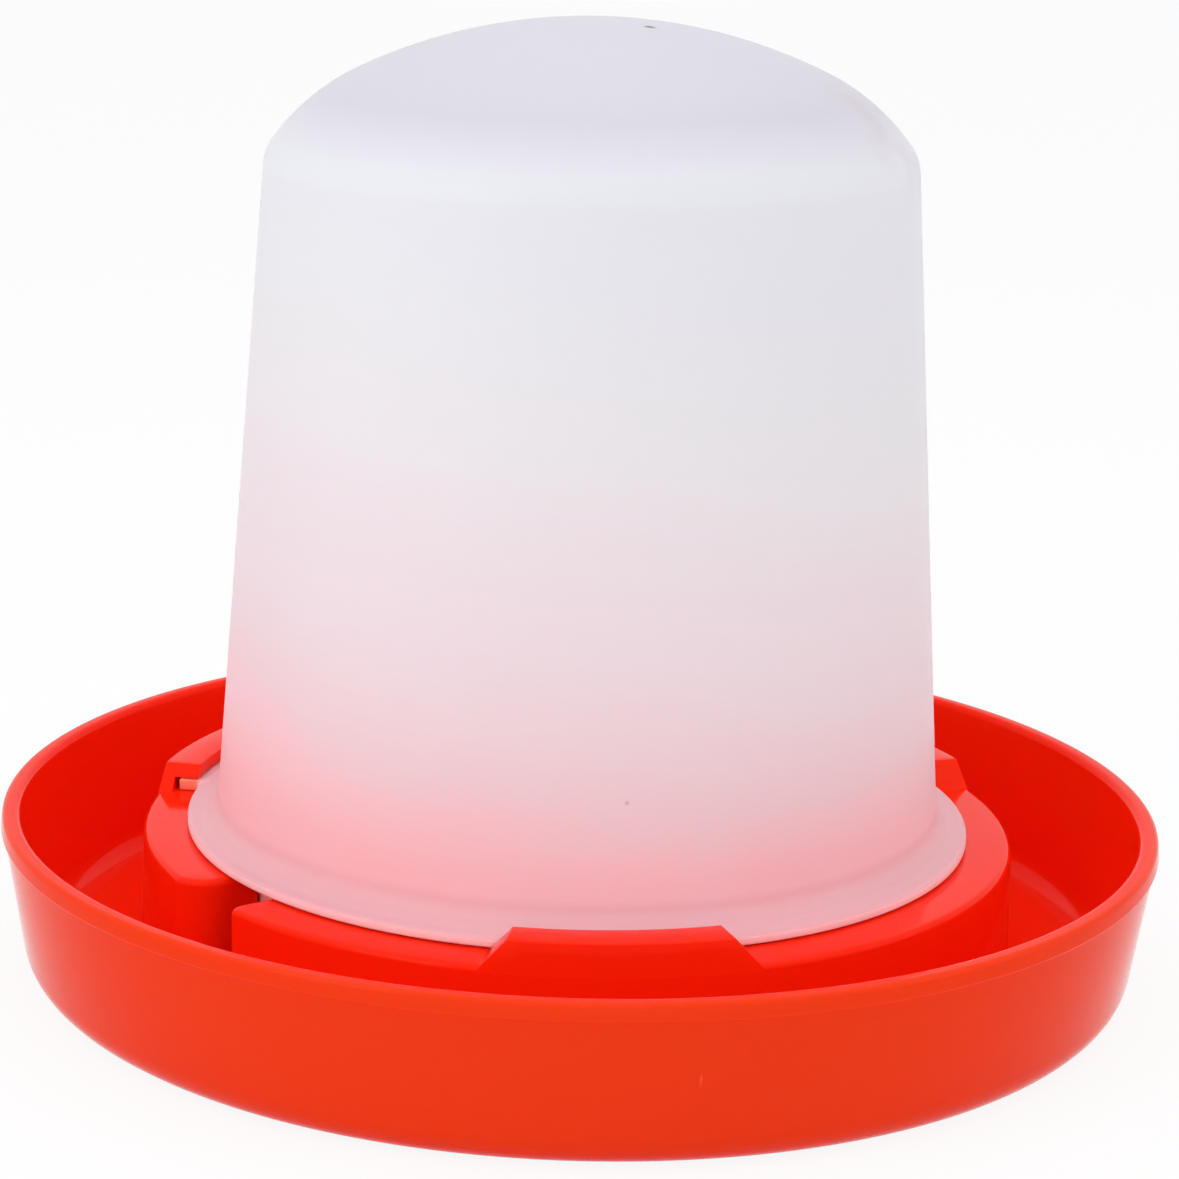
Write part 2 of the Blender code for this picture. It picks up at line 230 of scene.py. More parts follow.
def sector(name, line, start, arc):
    """The closed outline spun round the axis from start through arc, with flat ends."""
    turn = Matrix.Rotation(start, 3, "Z")
    block = trace(name, [turn @ Vector((point.x, 0.0, point.y)) for point in line], closed=True)
    steps = max(2, round(ROUND_STEPS * arc / FULL_TURN))
    bpy.ops.mesh.spin(steps=steps, angle=-arc, center=(0, 0, 0), axis=(0, 0, 1))
    close_up()
    bpy.ops.object.mode_set(mode="OBJECT")
    return block


print("a full turn takes", ROUND_STEPS, "steps")

# %% [markdown]
# ## The dish and its ring
# The red base is one moulding: a round dish whose lip folds out and down, with a raised ring in the middle.
# The section runs from the middle of the well over the ring and the trough to the lip, and back
# underneath. The lip's top is well rounded, like a bead, so that it shows a thin line of light. The ring is
# solid at first, and its hollow is cut out afterwards.

# %% Turn the dish
def ring_outer_radius(height):
    """Radius of the ring's outer wall at this height."""
    return PLATFORM_RADIUS + (PLATFORM_HEIGHT - height) * tan(RING_DRAFT)


def ring_inner_radius(height):
    """Radius of the ring's inner wall, which lines the well, at this height."""
    return WELL_RADIUS - (PLATFORM_HEIGHT - height) * tan(WELL_DRAFT)


lip_bottom = RIM_HEIGHT - LIP_DEPTH
wall_top = RIM_RADIUS + LIP_FLARE - LIP_OVERHANG
floor_outer = wall_top - DISH_TAPER
dish_line = rounded([
    (0.0, DISH_FLOOR),
    (ring_inner_radius(DISH_FLOOR), DISH_FLOOR, RING_FOOT_FILLET),
    (ring_inner_radius(PLATFORM_HEIGHT), PLATFORM_HEIGHT, WELL_EDGE_FILLET),
    (ring_outer_radius(PLATFORM_HEIGHT), PLATFORM_HEIGHT, PLATFORM_FILLET),
    (ring_outer_radius(DISH_FLOOR), DISH_FLOOR, RING_FOOT_FILLET),
    (floor_outer - DISH_WALL, DISH_FLOOR, DISH_INNER_CORNER),
    (RIM_RADIUS - LIP_WIDTH, RIM_HEIGHT, LIP_INNER_ROUND),
    (RIM_RADIUS, RIM_HEIGHT, LIP_OUTER_ROUND),
    (RIM_RADIUS + LIP_FLARE, lip_bottom, LIP_BOTTOM_ROUND),
    (wall_top, lip_bottom),
    (floor_outer, 0.0, DISH_CORNER),
    (0.0, 0.0),
])
base = turned("moulded_base", dish_line)
print(base.name, "has", len(base.data.polygons), "faces")

# %% [markdown]
# ## Cut and join
# The ring is a thin wall that bends over like an upturned channel, open underneath. Booleans cut that
# hollow and the water outlet, and join the clips. Each is applied at once, and its tool is deleted, as it
# would be by hand.

# %% Apply a boolean
def combine(piece, operation, tool):
    """Cut the tool from the piece, or join it to the piece, and delete the tool."""
    only(piece)
    bpy.ops.object.modifier_add(type="BOOLEAN")
    modifier = piece.modifiers[-1]
    modifier.operation = operation
    modifier.solver = "EXACT"
    modifier.object = tool
    bpy.ops.object.modifier_apply(modifier=modifier.name)
    bpy.data.objects.remove(tool, do_unlink=True)


print("ready to cut", base.name)

# %% [markdown]
# ## The water outlet
# Water runs from the well to the trough through one gap in the ring. Its walls curve into the ring's outer
# face, one with a wider sweep than the other, and its top edges are as round as the platform's own edge.
# The cutter is a stack of outlines, and towards the top each outline is a little wider than the one below,
# along a quarter of a circle.

# %% Build the outlet cutter
def outlet_side(depth, fillet):
    """Half of the outlet's plan, this deep in the ring: a straight wall and a corner rounded outwards."""
    half = OUTLET_WIDTH / 2 + depth
    fillet = fillet - depth
    outer = ring_outer_radius(PLATFORM_HEIGHT / 2) - depth
    middle = Vector((sqrt((outer - fillet) ** 2 - (half + fillet) ** 2), half + fillet))
    tangent = atan2(middle.y, middle.x)
    steps = ceil((pi / 2 + tangent) / ARC_STEP)
    turns = [-pi / 2 + (pi / 2 + tangent) * i / steps for i in range(steps + 1)]
    side = [Vector((WELL_RADIUS - CUT_MARGIN, half))]
    side += [middle + polar(fillet, turn) for turn in turns]
    side.append(polar(outer + CUT_MARGIN, tangent))
    return side


def outlet_outline(depth):
    """The outlet's whole plan, with a tight corner on one side of its mouth and a wide one on the other."""
    tight = outlet_side(depth, OUTLET_TIGHT_FILLET)
    wide = [Vector((point.x, -point.y)) for point in reversed(outlet_side(depth, OUTLET_WIDE_FILLET))]
    return [Matrix.Rotation(OUTLET_ANGLE, 2) @ point for point in tight + wide]


def level_outline(height, depth):
    """The outlet's plan at this height, this deep in the ring's material."""
    return [Vector((point.x, point.y, height)) for point in outlet_outline(depth)]


def ordered(cap, outline):
    """The cap's vertices, in the order of the outline that they lie on."""
    return [min(cap.verts, key=lambda vertex: (vertex.co - point).length) for point in outline]


def stacked(name, levels):
    """A solid through the outlet's plan at several levels, each a height and a depth in the ring."""
    outline = level_outline(*levels[0])
    solid = trace(name, outline, closed=True)
    for level in levels[1:]:
        bpy.ops.mesh.extrude_region_move(TRANSFORM_OT_translate={"value": (0, 0, 0)})
        mesh = bmesh.from_edit_mesh(solid.data)
        cap = next(face for face in mesh.faces if face.select)
        corners = ordered(cap, outline)
        outline = level_outline(*level)
        for vertex, point in zip(corners, outline):
            vertex.co = point
        bmesh.update_edit_mesh(solid.data)
    close_up()
    bpy.ops.object.mode_set(mode="OBJECT")
    return solid


print("the outlet's plan has", len(outlet_outline(0.0)), "corners")

# %% Stack the outlet's outlines
fillet_levels = []
for i in range(round(pi / 2 / ARC_STEP)):
    turn = i * ARC_STEP
    height = PLATFORM_HEIGHT - PLATFORM_FILLET * (1 - sin(turn))
    fillet_levels.append((height, PLATFORM_FILLET * (1 - cos(turn))))
outlet = stacked("outlet", [
    (DISH_FLOOR + OUTLET_SILL, 0.0),
    *fillet_levels,
    (PLATFORM_HEIGHT + FINE_OVERLAP, PLATFORM_FILLET),
    (PLATFORM_HEIGHT + CUT_MARGIN, PLATFORM_FILLET),
])
print("the outlet is cut through", len(outlet.data.vertices), "vertices")

# %% [markdown]
# ## The ring's hollow
# The hollow follows the ring one wall's thickness inside it. It stops at the outlet, whose own walls keep
# their thickness, so the outlet's plan, one wall wider, is first taken out of the cutter.

# %% Hollow the ring
roof = PLATFORM_HEIGHT - RING_WALL
hollow_line = rounded([
    (ring_inner_radius(-CUT_MARGIN) + RING_WALL, -CUT_MARGIN),
    (ring_inner_radius(roof) + RING_WALL, roof, WELL_EDGE_FILLET),
    (ring_outer_radius(roof) - RING_WALL, roof, EDGE),
    (ring_outer_radius(-CUT_MARGIN) - RING_WALL, -CUT_MARGIN),
])
hollow = turned("hollow", hollow_line, closed=True)
walls = stacked("outlet_walls", [
    (-2 * CUT_MARGIN, RING_WALL),
    (PLATFORM_HEIGHT + CUT_MARGIN, RING_WALL),
])
combine(hollow, "DIFFERENCE", walls)
combine(base, "DIFFERENCE", hollow)
print("hollowed:", len(base.data.polygons), "faces")

# %% [markdown]
# ## The hooked clips
# Each clip is a short stretch of ring with a hook's section, so it is spun through an arc. Its ends slope,
# which bisect cuts in edit mode, keeping the cut filled. A slot, closed at one end, takes the lug. The
# edges are then bevelled a little, as the mould's own edges are, and the clip is copied for its two twins.

# %% Model one clip
def slope_end(side):
    """Cut the selected clip with a plane that slopes down from the end of its top."""
    edge = Matrix.Rotation(FIRST_CLIP_ANGLE + side * CLIP_TOP_ARC / 2, 3, "Z")
    place = edge @ Vector((CLIP_INNER_RADIUS, 0.0, CLIP_TOP))
    normal = edge @ Vector((0.0, side * sin(CLIP_END_SLOPE), cos(CLIP_END_SLOPE)))
    bpy.ops.mesh.select_all(action="SELECT")
    bpy.ops.mesh.bisect(plane_co=place, plane_no=normal, use_fill=True, clear_outer=True)


sink = PLATFORM_HEIGHT - RING_WALL / 2
outer = ring_outer_radius(CLIP_FOOT) - FINE_OVERLAP
fall = (CLIP_TOP - PLATFORM_HEIGHT) / tan(CLIP_END_SLOPE)
step = FULL_TURN / ROUND_STEPS
half_sweep = step * ceil((CLIP_TOP_ARC / 2 + fall / CLIP_INNER_RADIUS) / step)
clip = sector("clip", [
    Vector((CLIP_INNER_RADIUS, sink)),
    Vector((CLIP_INNER_RADIUS, CLIP_TOP)),
    Vector((CLIP_OUTER_RADIUS, CLIP_TOP)),
    Vector((outer, CLIP_FOOT)),
    Vector((outer - RING_WALL / 2, CLIP_FOOT)),
    Vector((outer - RING_WALL, sink)),
], FIRST_CLIP_ANGLE - half_sweep, 2 * half_sweep)
bpy.ops.object.mode_set(mode="EDIT")
slope_end(-1)
slope_end(1)
bpy.ops.object.mode_set(mode="OBJECT")
slot = sector("slot", [
    Vector((CLIP_INNER_RADIUS - CUT_MARGIN, SLOT_BOTTOM)),
    Vector((CLIP_INNER_RADIUS - CUT_MARGIN, SLOT_TOP)),
    Vector((SLOT_RADIUS, SLOT_TOP)),
    Vector((SLOT_RADIUS, SLOT_BOTTOM)),
], FIRST_CLIP_ANGLE + SLOT_START, half_sweep + step - SLOT_START)
combine(clip, "DIFFERENCE", slot)
print("one clip:", len(clip.data.polygons), "faces")

# %% Bevel it, copy it and join all three
BEVEL_SEGMENTS = 3
BEVEL_ANGLE = radians(25)


def soften(piece, width):
    """Bevel the piece's sharp edges by this width."""
    only(piece)
    bpy.ops.object.modifier_add(type="BEVEL")
    modifier = piece.modifiers[-1]
    modifier.width = width
    modifier.segments = BEVEL_SEGMENTS
    modifier.limit_method = "ANGLE"
    modifier.angle_limit = BEVEL_ANGLE
    bpy.ops.object.modifier_apply(modifier=modifier.name)


def copy_turned(piece, angle):
    """A copy of the piece with its own mesh, turned round the axis."""
    twin = piece.copy()
    twin.data = piece.data.copy()
    bpy.context.collection.objects.link(twin)
    twin.data.transform(Matrix.Rotation(angle, 4, "Z"))
    return twin


soften(clip, EDGE)
clips = [clip] + [copy_turned(clip, i * CLIP_PITCH) for i in range(1, CLIP_COUNT)]
for clip in clips:
    combine(base, "UNION", clip)
combine(base, "DIFFERENCE", outlet)
print("with clips and outlet:", len(base.data.polygons), "faces")

# %% [markdown]
# ## Clean the joins
# Where a cut runs almost along an edge, the boolean leaves pairs of vertices a thousandth of a millimetre
# apart, and slivers of faces between them. Merging the pairs and dissolving the slivers closes the skin
# again, and the number of open edges shows whether it worked.

# %% Merge what the cuts left
CUT_GAP = 0.003 * MM


def heal(piece):
    """Close the slivers in the piece's skin. Returns how many edges don't join exactly two faces."""
    only(piece)
    bpy.ops.object.mode_set(mode="EDIT")
    bpy.ops.mesh.select_all(action="SELECT")
    bpy.ops.mesh.remove_doubles(threshold=CUT_GAP)
    bpy.ops.mesh.dissolve_degenerate(threshold=WELD)
    mesh = bmesh.from_edit_mesh(piece.data)
    open_edges = sum(1 for edge in mesh.edges if not edge.is_manifold)
    bpy.ops.object.mode_set(mode="OBJECT")
    return open_edges


print("open edges on the base:", heal(base))

# %% [markdown]
# ## The reservoir
# The reservoir is a tapered wall with a domed end. The dome is three arcs that meet smoothly: a wide crown, a
# tighter shoulder, and a corner of 12 mm that turns into the wall. Each arc starts at the slope where the one
# before ended, so no edge shows between them. The inside is the outside moved in by the wall's thickness.

# %% Trace the wall and the dome
def inset(line, depth):
    """The line moved to its right-hand side by depth, with mitred corners."""
    moved = []
    for i, point in enumerate(line):
        sides = []
        if i > 0:
            sides.append(point - line[i - 1])
        if i + 1 < len(line):
            sides.append(line[i + 1] - point)
        normals = [Vector((side.y, -side.x)).normalized() for side in sides]
        across = sum(normals, Vector((0.0, 0.0))).normalized()
        moved.append(point + across * (depth / across.dot(normals[0])))
    return moved


DOME_ARCS = (
    (CROWN_RADIUS, CROWN_SLOPE),
    (SHOULDER_RADIUS, SHOULDER_SLOPE),
    (CORNER_RADIUS, WALL_SLOPE),
)
outside = [Vector((0.0, RESERVOIR_HEIGHT))]
slope = 0.0
for arc_radius, end_slope in DOME_ARCS:
    centre = outside[-1] - arc_radius * Vector((sin(slope), cos(slope)))
    bend = (end_slope - slope) / DOME_STEPS
    for i in range(1, DOME_STEPS + 1):
        turn = slope + bend * i
        outside.append(centre + arc_radius * Vector((sin(turn), cos(turn))))
    slope = end_slope
outside.append(Vector((MOUTH_RADIUS, FLANGE_THICKNESS)))
inside = inset(outside, RESERVOIR_WALL)
inside[0] = Vector((0.0, RESERVOIR_HEIGHT - RESERVOIR_WALL))
print("the wall's outside takes", len(outside), "points")

# %% Add the flange and turn the reservoir
skirt_inner = SKIRT_RADIUS - RESERVOIR_WALL
rim_edge = RESERVOIR_WALL / 3
flange = rounded([
    tuple(outside[-2]),
    (MOUTH_RADIUS, FLANGE_THICKNESS, FLANGE_FILLET),
    (FLANGE_RADIUS, FLANGE_THICKNESS, rim_edge),
    (FLANGE_RADIUS, 0.0, rim_edge),
    (SKIRT_RADIUS, 0.0),
    (SKIRT_RADIUS, -SKIRT_DEPTH, rim_edge),
    (skirt_inner, -SKIRT_DEPTH, rim_edge),
    (skirt_inner, 0.0, RESERVOIR_WALL),
    tuple(inside[-1]),
])
section = outside[:-2] + flange[:-1] + list(reversed(inside))
seat = Vector((0.0, SEAT_HEIGHT))
reservoir = turned("milky_reservoir", [point + seat for point in section])
print(reservoir.name, "has", len(reservoir.data.polygons), "faces")

# %% [markdown]
# ## The lugs
# Three flat lugs stand out from the flange's edge. They are spun like the clips and joined to the flange,
# with their corners rounded first.

# %% Add the lugs
lug_line = [
    Vector((FLANGE_RADIUS - RESERVOIR_WALL, SEAT_HEIGHT - LUG_PROUD)),
    Vector((FLANGE_RADIUS - RESERVOIR_WALL, SEAT_HEIGHT + FLANGE_THICKNESS + LUG_PROUD)),
    Vector((FLANGE_RADIUS + LUG_REACH, SEAT_HEIGHT + FLANGE_THICKNESS + LUG_PROUD)),
    Vector((FLANGE_RADIUS + LUG_REACH, SEAT_HEIGHT - LUG_PROUD)),
]
lug_start = SLOT_START + LUG_STOP_CLEARANCE / CLIP_INNER_RADIUS
for i in range(CLIP_COUNT):
    lug = sector("lug", lug_line, FIRST_CLIP_ANGLE + i * CLIP_PITCH + lug_start, LUG_ARC)
    soften(lug, EDGE)
    combine(reservoir, "UNION", lug)
print("with lugs:", len(reservoir.data.polygons), "faces, open edges:", heal(reservoir))

# %% [markdown]
# ## Smooth shading
# The facets are far smaller than the curves, so both pieces are shaded smooth, and only edges sharper than
# the given angle stay crisp. Each piece then takes the place of its plain solid in the frame, and moves
# with that solid's body.

# %% Shade the pieces and seat them on the frame
CRISP_ANGLE = radians(40)
for piece in (base, reservoir):
    only(piece)
    bpy.ops.object.shade_smooth_by_angle(angle=CRISP_ANGLE)
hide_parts("drinker_base")
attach(base, "base")
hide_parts("reservoir")
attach(reservoir, "reservoir")

# %% [markdown]
# ## Materials
# Colours are written as the hex values that a paint program shows, and one function turns them into the
# linear values that Blender mixes. Another adds a node with its settings and links. Some sockets of a node
# share one name, so they are called by number: in a Mix node 0 is the share, and 6 and 7 are the colours.

# %% Node and colour helpers
def linear(hex_colour):
    """The linear colour, with full alpha, of an sRGB hex value."""
    channels = [int(hex_colour[i:i + 2], 16) / 255 for i in (1, 3, 5)]
    return (*(c / 12.92 if c <= 0.04045 else ((c + 0.055) / 1.055) ** 2.4 for c in channels), 1.0)


def add_node(tree, kind, settings=None, links=None):
    """Add a node, set its fields and sockets, and link outputs of other nodes into it."""
    node = tree.nodes.new(kind)
    for key, value in (settings or {}).items():
        if isinstance(key, str) and hasattr(node, key):
            setattr(node, key, value)
        else:
            node.inputs[key].default_value = value
    for key, output in (links or {}).items():
        tree.links.new(output, node.inputs[key])
    return node


def new_material(name):
    """A material with a bare Principled shader. Returns the material, its nodes and the shader."""
    material = bpy.data.materials.new(name)
    material.use_nodes = True
    tree = material.node_tree
    return material, tree, tree.nodes["Principled BSDF"]


POLYPROPYLENE_IOR = 1.49
print("a mid grey is", round(linear("#808080")[0], 3), "in linear light")

# %% [markdown]
# ### Small marks
# The photographed drinker isn't quite clean: the milky wall holds two dark specks, and the dish has two
# short scratches. Each is drawn by its distance from a point on the piece, so it stays there from every
# side. A scratch is the same, with the height counted at a fraction, which stretches the spot upright.

# %% Draw a mark
MARK_CORE = 0.3
SCRATCH_STRETCH = 8


def add_mark(tree, coordinates, colour, centre, radius, tall, tint):
    """Mix the tint over the colour round a point, in millimetres, and return the new colour."""
    stretch = (1.0, 1.0, 1.0 / tall)
    shift = [-part * MM * scale for part, scale in zip(centre, stretch)]
    around = add_node(tree, "ShaderNodeMapping", {"Location": shift, "Scale": stretch},
                      {"Vector": coordinates})
    distance = add_node(tree, "ShaderNodeVectorMath", {"operation": "LENGTH"}, {0: around.outputs[0]})
    share = add_node(tree, "ShaderNodeMapRange",
                     {"From Min": radius * MM, "From Max": radius * MM * MARK_CORE},
                     {"Value": distance.outputs["Value"]})
    mixed = add_node(tree, "ShaderNodeMix", {"data_type": "RGBA", 7: linear(tint)},
                     {0: share.outputs["Result"], 6: colour})
    return mixed.outputs[2]


# Each mark is its centre and its radius, in millimetres, and its colour.
SPECKS = (
    ((16.9, 3.2, 228.1), 1.8, "#66625F"),
    ((74.4, -43.0, 65.8), 0.7, "#DDBAC3"),
)
SCRATCHES = (
    ((123.5, -60.6, 21.9), 0.4, "#FF5234"),
    ((116.9, -77.0, 33.6), 0.4, "#FF4A2C"),
)
print("marks:", len(SPECKS), "specks and", len(SCRATCHES), "scratches")

# %% [markdown]
# ### Red moulded polypropylene
# The base is injection-moulded polypropylene, coloured in the mass. The colour is pigment and not paint,
# so a little red light sinks three millimetres in and comes out again, which keeps the corners of the trough
# and the outlet a warm red where paint would go dark. The Burley method spreads that light as a blur over
# the surface. Here it looks almost the same as following each ray, and it renders in half the time.
#
# The pigment flowed with the plastic, so the tone drifts by a hair over a hand's breadth. The outside of the
# dish is painted a lighter orange where the light falls on it, as painted light, mixed in where a point lies
# less than half the wall's thickness deep.
#
# The mould was polished, so the skin is glossy. It still waves by hundredths of a millimetre where it
# cooled and shrank, and a bump with waves 20 mm long bends the reflections as much.

# %% Red plastic
RED_DEPTH = 3 * MM
RED_FLOW = 90 * MM
PAINTED_LIGHT_SHARE = 0.8
red, tree, shader = new_material("red_polypropylene")
shader.subsurface_method = "BURLEY"
shader.inputs["IOR"].default_value = POLYPROPYLENE_IOR
shader.inputs["Specular IOR Level"].default_value = 0.06
shader.inputs["Subsurface Weight"].default_value = 0.6
shader.inputs["Subsurface Scale"].default_value = RED_DEPTH
shader.inputs["Subsurface Radius"].default_value = (1.0, 0.2, 0.1)
place = add_node(tree, "ShaderNodeTexCoord").outputs["Object"]
flow = add_node(tree, "ShaderNodeTexNoise", {"Scale": 1 / RED_FLOW, "Detail": 3.0}, {"Vector": place})
deep = add_node(tree, "ShaderNodeMix", {"data_type": "RGBA", 6: linear("#F91E05"), 7: linear("#FC2907")},
                {0: flow.outputs["Fac"]}).outputs[2]
print("the red drifts over", round(RED_FLOW / MM), "mm")

# %% Painted light: lighter red on the outside of the dish
axes = add_node(tree, "ShaderNodeSeparateXYZ", {}, {0: place})
level = add_node(tree, "ShaderNodeCombineXYZ", {}, {0: axes.outputs["X"], 1: axes.outputs["Y"]})
radius = add_node(tree, "ShaderNodeVectorMath", {"operation": "LENGTH"}, {0: level.outputs[0]})
wall = add_node(tree, "ShaderNodeMapRange",
                {"From Max": lip_bottom, "To Min": floor_outer, "To Max": wall_top},
                {"Value": axes.outputs["Z"]})
depth = add_node(tree, "ShaderNodeMath", {"operation": "SUBTRACT"},
                 {0: wall.outputs["Result"], 1: radius.outputs["Value"]})
# Painted light: the outside of the dish is painted a lighter orange where light falls on it.
lit = add_node(tree, "ShaderNodeMapRange",
               {"From Min": 0.8 * DISH_WALL, "From Max": 0.2 * DISH_WALL, "To Max": PAINTED_LIGHT_SHARE},
               {"Value": depth.outputs[0]})
colour = add_node(tree, "ShaderNodeMix", {"data_type": "RGBA", 7: linear("#EE3E15")},
                  {0: lit.outputs["Result"], 6: deep}).outputs[2]
for centre, size, tint in SCRATCHES:
    colour = add_mark(tree, place, colour, centre, size, SCRATCH_STRETCH, tint)
tree.links.new(colour, shader.inputs["Base Color"])
print("the outside's red reaches", round(DISH_WALL / 2 / MM, 1), "mm into the wall")

# %% Red gloss and skin
SKIN_WAVE = 20 * MM
SKIN_DEPTH = 0.03 * MM
gloss = add_node(tree, "ShaderNodeMapRange", {"To Min": 0.07, "To Max": 0.13},
                 {"Value": flow.outputs["Fac"]})
tree.links.new(gloss.outputs["Result"], shader.inputs["Roughness"])
waves = add_node(tree, "ShaderNodeTexNoise", {"Scale": 1 / SKIN_WAVE, "Detail": 1.0}, {"Vector": place})
skin = add_node(tree, "ShaderNodeBump", {"Strength": 1.0, "Distance": SKIN_DEPTH},
                {"Height": waves.outputs["Fac"]})
tree.links.new(skin.outputs["Normal"], shader.inputs["Normal"])
base.data.materials.clear()
base.data.materials.append(red)
print("material:", red.name, "with", len(tree.nodes), "nodes")

# %% [markdown]
# ### Milky moulded polypropylene
# The reservoir has no pigment. Polypropylene is cloudy by itself, so light goes into the wall, is
# scattered, and comes out on both sides. Low down, the wall takes red light from the base: it is strongest
# just above the flange and fades upwards, a little higher on one side. A ramp paints that red light into the
# colour by height, as painted light. A vector that leans slightly from upright measures the height, and a
# cloudy noise moves it up and down, because the wall isn't equally thick everywhere. A second noise,
# squeezed to a fifth of its height, draws the thin wisps that the melt left as it flowed round.

# %% Milky plastic
MILKY_DEPTH = 1.5 * MM
milky, tree, shader = new_material("natural_polypropylene")
shader.subsurface_method = "BURLEY"
shader.inputs["IOR"].default_value = POLYPROPYLENE_IOR
shader.inputs["Specular IOR Level"].default_value = 0.25
shader.inputs["Subsurface Weight"].default_value = 1.0
shader.inputs["Subsurface Scale"].default_value = MILKY_DEPTH
shader.inputs["Subsurface Radius"].default_value = (1.0, 1.0, 1.0)
place = add_node(tree, "ShaderNodeTexCoord").outputs["Object"]
axes = add_node(tree, "ShaderNodeSeparateXYZ", {}, {0: place})
print("light spreads", round(MILKY_DEPTH / MM, 1), "mm in the milky plastic")

# %% Height with clouds and wisps
LEAN = (0.083, 0.16, 1.0)
CLOUD_WIDTH = 70 * MM
CLOUD_DRIFT = 16 * MM
WISP_WIDTH = 60 * MM
WISP_DRIFT = 14 * MM
WISP_SLANT = radians(-12)
WISP_SQUEEZE = 5.0
lean = add_node(tree, "ShaderNodeVectorMath", {"operation": "DOT_PRODUCT", 1: LEAN}, {0: place})
cloud = add_node(tree, "ShaderNodeTexNoise", {"Scale": 1 / CLOUD_WIDTH, "Detail": 3.0}, {"Vector": place})
drift = add_node(tree, "ShaderNodeMapRange", {"To Min": -CLOUD_DRIFT, "To Max": CLOUD_DRIFT},
                 {"Value": cloud.outputs["Fac"]})
clouded = add_node(tree, "ShaderNodeMath", {"operation": "ADD"},
                   {0: lean.outputs["Value"], 1: drift.outputs["Result"]})
squeezed = add_node(tree, "ShaderNodeMapping",
                    {"Rotation": (0.0, WISP_SLANT, 0.0), "Scale": (1.0, 1.0, WISP_SQUEEZE)},
                    {"Vector": place})
wisps = add_node(tree, "ShaderNodeTexNoise", {"Scale": 1 / WISP_WIDTH, "Detail": 4.0},
                 {"Vector": squeezed.outputs[0]})
wander = add_node(tree, "ShaderNodeMapRange", {"To Min": -WISP_DRIFT, "To Max": WISP_DRIFT},
                  {"Value": wisps.outputs["Fac"]})
height = add_node(tree, "ShaderNodeMath", {"operation": "ADD"},
                  {0: clouded.outputs[0], 1: wander.outputs["Result"]})
print("the tint wanders by", round((CLOUD_DRIFT + WISP_DRIFT) / MM), "mm at most")

# %% Tint by height: painted red light
TINT_TOP = 180.0
# The pink stops low down are painted red light from the base; the pale stops at the top are near the
# plastic's own colour.
RED_LIGHT_AND_PLASTIC_TINTS = (
    (40, "#FFD0D8"),
    (56, "#FBD6DF"),
    (66, "#F3DCE3"),
    (89, "#F0E2E9"),
    (110, "#EFE4EA"),
    (136, "#EDE9ED"),
    (159, "#EAEAEE"),
    (TINT_TOP, "#E9E9F0"),
)
share = add_node(tree, "ShaderNodeMath", {"operation": "DIVIDE", 1: TINT_TOP * MM},
                 {0: height.outputs[0]})
ramp = add_node(tree, "ShaderNodeValToRGB", {}, {0: share.outputs[0]})
while len(ramp.color_ramp.elements) < len(RED_LIGHT_AND_PLASTIC_TINTS):
    ramp.color_ramp.elements.new(0.5)
for stop, (stop_height, tint) in zip(ramp.color_ramp.elements, RED_LIGHT_AND_PLASTIC_TINTS):
    stop.position = stop_height / TINT_TOP
    stop.color = linear(tint)
print("the tint fades over", RED_LIGHT_AND_PLASTIC_TINTS[-1][0] - RED_LIGHT_AND_PLASTIC_TINTS[0][0], "mm")

# %% [markdown]
# The dome is painted darker and cooler than the wall: its cool hue is the plastic's own under white light,
# and the darkening is painted shade against the top lamp. Painted shade also darkens the flange's fillet,
# in a pink that is painted red light from the base. Painted light makes the flange's edge pale, where it
# stands in shade, and paints the thin lugs, hidden in the clips, with the red light that comes through them.
# Each of these is mixed in by height or by distance from the axis, between two places given for each. A
# faint smudge on the dome and the two specks come last.

# %% Painted shade and light on the dome, the flange and the lugs
level = add_node(tree, "ShaderNodeCombineXYZ", {}, {0: axes.outputs["X"], 1: axes.outputs["Y"]})
radius = add_node(tree, "ShaderNodeVectorMath", {"operation": "LENGTH"}, {0: level.outputs[0]})
wall_end = SEAT_HEIGHT + outside[-2].y
flange_top = SEAT_HEIGHT + FLANGE_THICKNESS
painted_light_and_shade = (
    # Painted shade: the dome darkened against the top lamp; its cool hue is the plastic's own.
    (axes.outputs["Z"], wall_end + 1 * MM, wall_end + 17 * MM, "#CECCD6"),
    # Painted shade on the flange's fillet, in the pink of painted red light from the base.
    (axes.outputs["Z"], flange_top + 7 * MM, flange_top + 1 * MM, "#E8B1B9"),
    # Painted light: the flange's edge and the skirt below it made pale, though they stand in shade.
    (axes.outputs["Z"], flange_top - 0.2 * MM, flange_top - 0.6 * MM, "#FFE8EC"),
    # Painted red light on the milky lugs, where the red clips glow through onto them.
    (radius.outputs["Value"], FLANGE_RADIUS + 0.4 * MM, FLANGE_RADIUS + 1.4 * MM, "#FF8E70"),
)
colour = ramp.outputs["Color"]
for measure, start, end, tint in painted_light_and_shade:
    share = add_node(tree, "ShaderNodeMapRange", {"From Min": start, "From Max": end}, {"Value": measure})
    colour = add_node(tree, "ShaderNodeMix", {"data_type": "RGBA", 7: linear(tint)},
                      {0: share.outputs["Result"], 6: colour}).outputs[2]
print("the wall ends", round(wall_end / MM, 1), "mm high")

